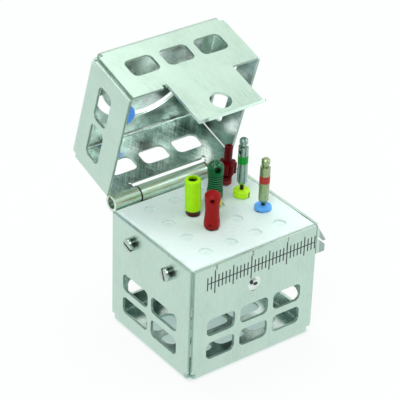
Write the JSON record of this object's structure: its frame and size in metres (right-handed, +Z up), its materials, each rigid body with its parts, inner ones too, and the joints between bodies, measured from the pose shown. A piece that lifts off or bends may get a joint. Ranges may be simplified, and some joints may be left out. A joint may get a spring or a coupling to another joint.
{
  "type": "endodontic file box",
  "caption": "Small slotted stainless steel box with a hinged snap lid and a white block that holds root canal files and drills.",
  "frame": {"origin": "centre of the base's underside, in the plane that the box stands on", "axes": "+X along the front towards the right wall with the two lugs, +Y from the front wall with the stud towards the hinge, +Z up from the floor towards the block"},
  "size_m": [0.039, 0.048, 0.0655],
  "materials": {
    "satin_steel": "satin",
    "polished_steel": "polished",
    "white_silicone": "matte",
    "blue_silicone": "matte",
    "yellow_green_plastic": "satin",
    "brown_plastic": "satin",
    "yellow_silicone": "matte",
    "red_plastic": "satin",
    "green_plastic": "satin",
    "dark_red_plastic": "gloss",
    "rose_plastic": "satin",
    "shaft_steel": "satin",
    "shank_steel": "satin",
    "shank_brass": "satin"
  },
  "bodies": {
    "base": {"base_shell": "satin_steel", "snap_stud": "polished_steel", "hinge_pin": "polished_steel", "block_screw_left_front": "polished_steel", "block_screw_left_rear": "polished_steel", "block_screw_right_front": "polished_steel", "block_screw_right_rear": "polished_steel", "file_block": "white_silicone", "brass_drill_stop": "blue_silicone", "yellow_file_handle": "yellow_green_plastic", "silver_drill_stop": "yellow_green_plastic", "yellow_file_ring": "brown_plastic", "green_file_stop": "yellow_silicone", "red_file_handle": "red_plastic", "brass_drill_band": "red_plastic", "green_file_handle": "green_plastic", "silver_drill_band": "green_plastic", "dark_red_file_handle": "dark_red_plastic", "dark_red_file_ring": "rose_plastic", "yellow_file_shaft": "shaft_steel", "red_file_shaft": "shaft_steel", "green_file_shaft": "shaft_steel", "dark_red_file_shaft": "shaft_steel", "silver_drill_shaft": "shaft_steel", "brass_drill_shaft": "shaft_steel", "silver_drill_shank": "shank_steel", "brass_drill_shank": "shank_brass"},
    "lid": {"lid_shell": "satin_steel", "slot_marker": "blue_silicone"}
  },
  "joints": [
    {"name": "lid_hinge", "type": "hinge", "parent": "base", "child": "lid", "pos_m": [0, 0.0168, 0.0302], "axis": [-1, 0, 0], "range_deg": [-75.5, 106.7]}
  ]
}
